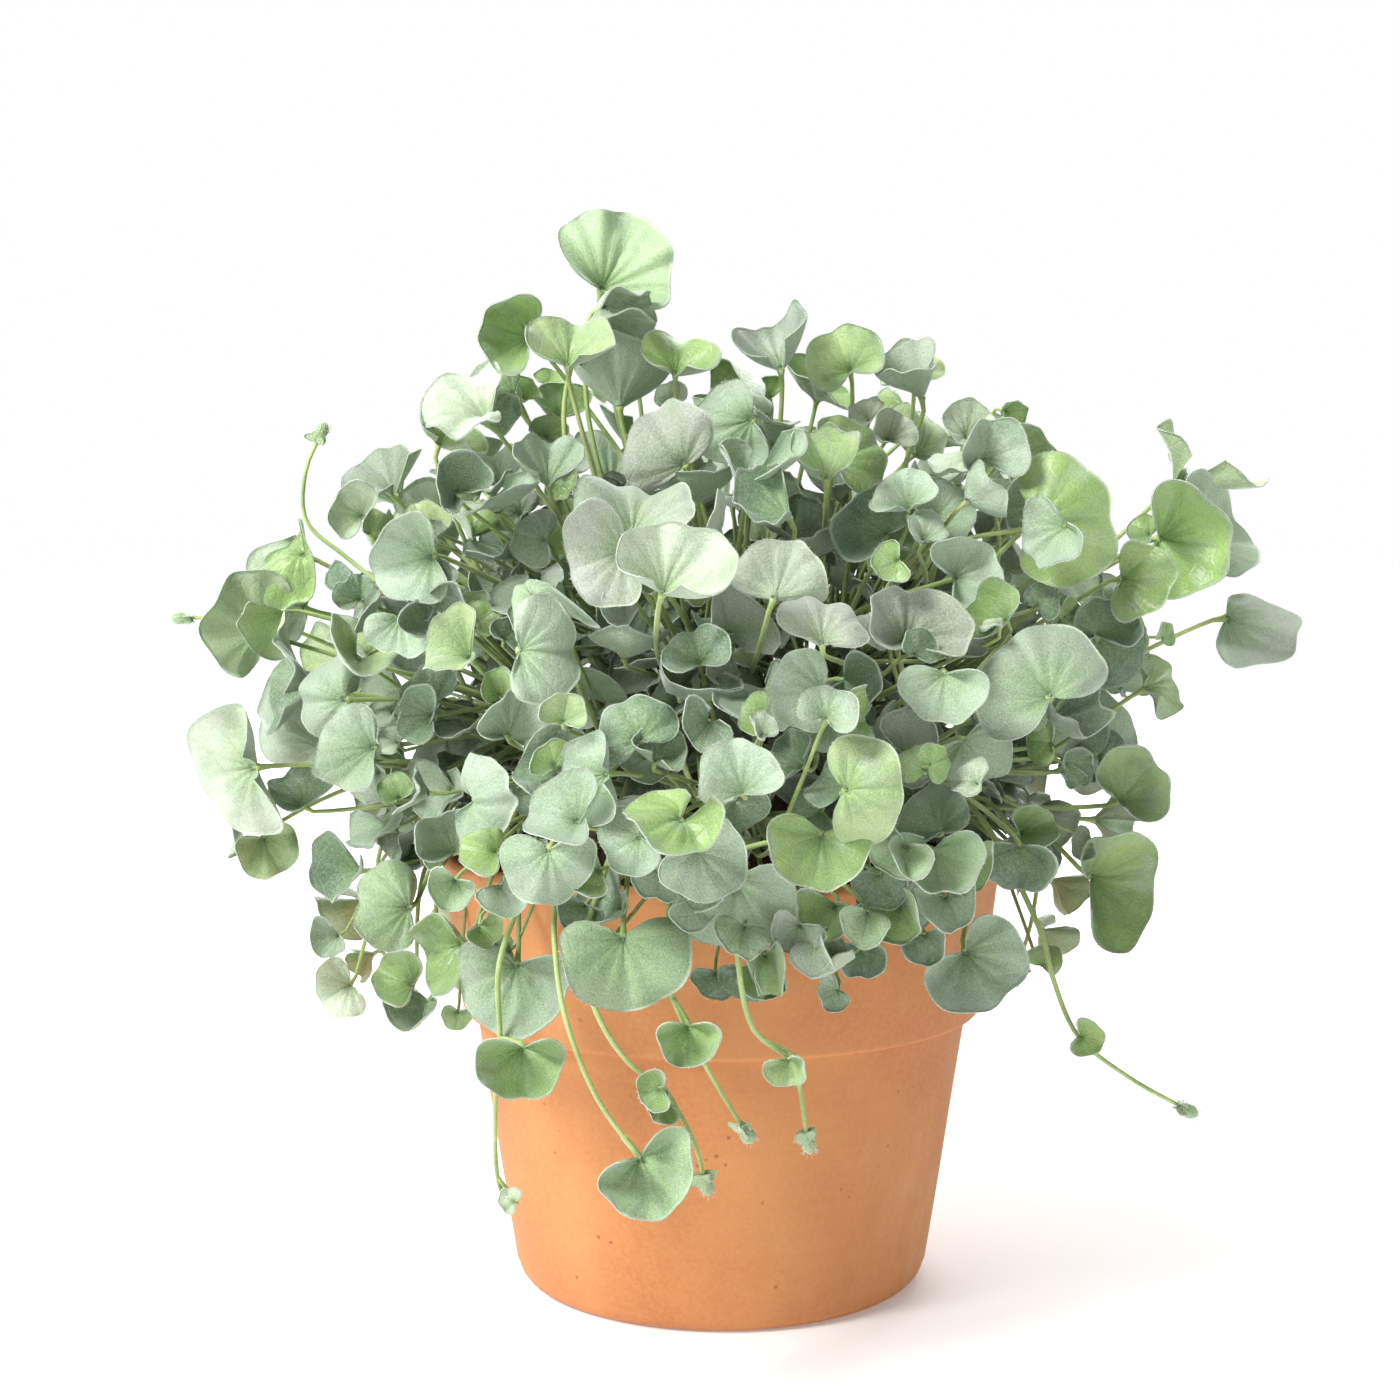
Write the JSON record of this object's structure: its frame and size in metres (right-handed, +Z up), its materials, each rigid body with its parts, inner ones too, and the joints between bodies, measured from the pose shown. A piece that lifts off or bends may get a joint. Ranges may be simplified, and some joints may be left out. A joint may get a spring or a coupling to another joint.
{
  "type": "potted silver ponyfoot",
  "caption": "Bushy pot plant: a round mound of silver-green kidney-shaped leaves with thin trailing runners, rooted in dark soil in a squat terracotta pot.",
  "frame": {"origin": "centre of the pot's foot on the ground, midway under the whole plant", "axes": "+Z up along the pot's axis, +X to the right across the wider way of the plant, -Y towards the pictured front"},
  "size_m": [0.2612, 0.2385, 0.2454],
  "materials": {
    "terracotta": "matte fired clay",
    "soil": "rough damp peat",
    "foliage": "velvety with fine silver hair"
  },
  "bodies": {
    "root": {"terracotta_pot": "terracotta", "potting_soil": "soil", "leafy_stem_01": "foliage", "leafy_stem_02": "foliage", "leafy_stem_03": "foliage", "leafy_stem_04": "foliage", "leafy_stem_05": "foliage", "leafy_stem_06": "foliage", "leafy_stem_07": "foliage", "leafy_stem_08": "foliage", "leafy_stem_09": "foliage", "leafy_stem_10": "foliage", "leafy_stem_11": "foliage", "leafy_stem_12": "foliage", "leafy_stem_13": "foliage", "leafy_stem_14": "foliage", "leafy_stem_15": "foliage", "leafy_stem_16": "foliage", "leafy_stem_17": "foliage", "leafy_stem_18": "foliage", "leafy_stem_19": "foliage", "leafy_stem_20": "foliage", "leafy_stem_21": "foliage", "leafy_stem_22": "foliage", "leafy_stem_23": "foliage", "leafy_stem_24": "foliage", "leafy_stem_25": "foliage", "leafy_stem_26": "foliage", "runner_01": "foliage", "runner_02": "foliage", "runner_03": "foliage", "runner_04": "foliage", "runner_05": "foliage", "runner_06": "foliage", "runner_07": "foliage", "runner_08": "foliage", "runner_09": "foliage", "runner_10": "foliage", "runner_11": "foliage", "runner_12": "foliage", "runner_13": "foliage"}
  },
  "joints": []
}
